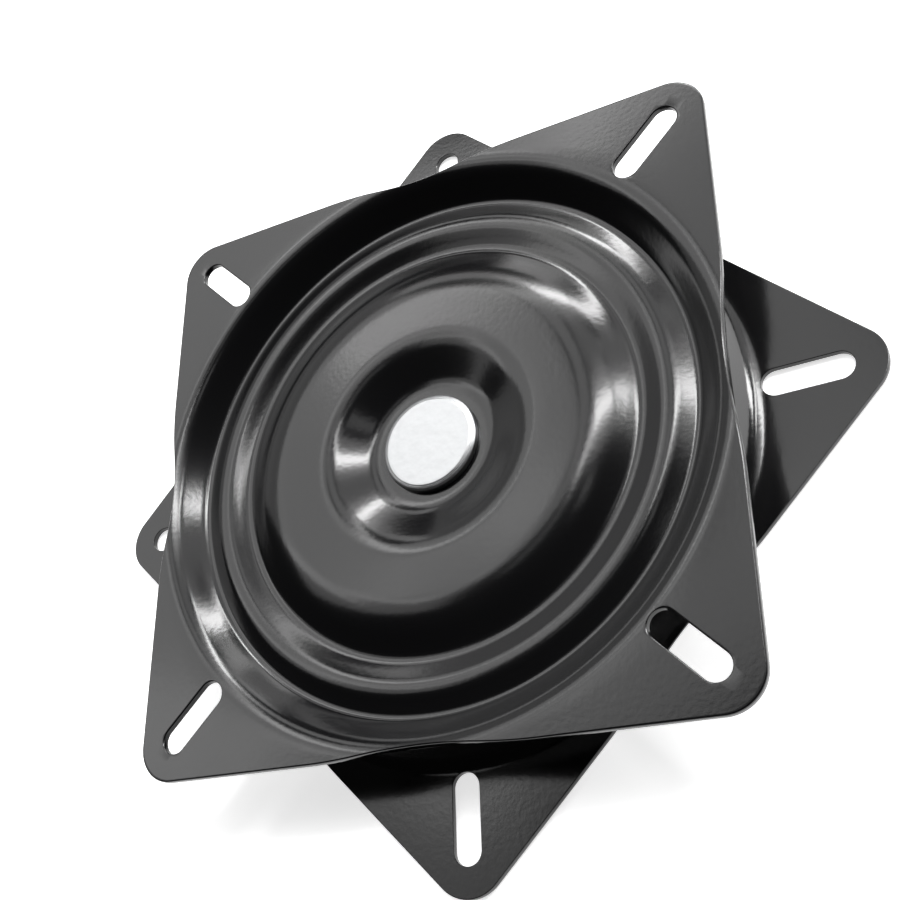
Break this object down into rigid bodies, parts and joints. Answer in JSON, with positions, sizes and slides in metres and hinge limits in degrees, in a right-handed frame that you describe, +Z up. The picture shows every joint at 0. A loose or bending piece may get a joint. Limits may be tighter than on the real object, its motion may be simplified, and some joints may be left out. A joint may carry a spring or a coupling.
{
  "type": "lazy susan bearing",
  "caption": "Flat square swivel bearing for a seat or turntable: mirrored dished steel plates with slotted corners turn on a caged ring of balls about a central rivet.",
  "frame": {"origin": "on the swivel axis, in the plane of the lower plate's corner faces", "axes": "+Z up along the swivel axis, +X and +Y along the lower plate's diagonals"},
  "size_m": [0.2428, 0.2428, 0.0254],
  "materials": {
    "black_paint": "gloss",
    "zinc_plate": "satin",
    "plain_steel": "satin",
    "bearing_steel": "polished"
  },
  "bodies": {
    "base": {"bottom_plate": "black_paint", "center_rivet": "zinc_plate", "spacer_ring": "zinc_plate"},
    "upper": {"top_plate": "black_paint"},
    "ball_row": {"ball_cage": "plain_steel", "ball_01": "bearing_steel", "ball_02": "bearing_steel", "ball_03": "bearing_steel", "ball_04": "bearing_steel", "ball_05": "bearing_steel", "ball_06": "bearing_steel", "ball_07": "bearing_steel", "ball_08": "bearing_steel", "ball_09": "bearing_steel", "ball_10": "bearing_steel", "ball_11": "bearing_steel", "ball_12": "bearing_steel", "ball_13": "bearing_steel", "ball_14": "bearing_steel", "ball_15": "bearing_steel", "ball_16": "bearing_steel", "ball_17": "bearing_steel", "ball_18": "bearing_steel", "ball_19": "bearing_steel", "ball_20": "bearing_steel", "ball_21": "bearing_steel", "ball_22": "bearing_steel", "ball_23": "bearing_steel", "ball_24": "bearing_steel"}
  },
  "joints": [
    {"name": "swivel", "type": "hinge", "parent": "base", "child": "upper", "pos_m": [0, 0, 0.0127], "axis": [0, 0, 1], "continuous": true},
    {"name": "ball_row_turn", "type": "hinge", "parent": "base", "child": "ball_row", "pos_m": [0, 0, 0.0127], "axis": [0, 0, 1], "continuous": true}
  ],
  "couplings": [
    {"joint": "ball_row_turn", "follows": "swivel", "ratio": 0.5}
  ]
}
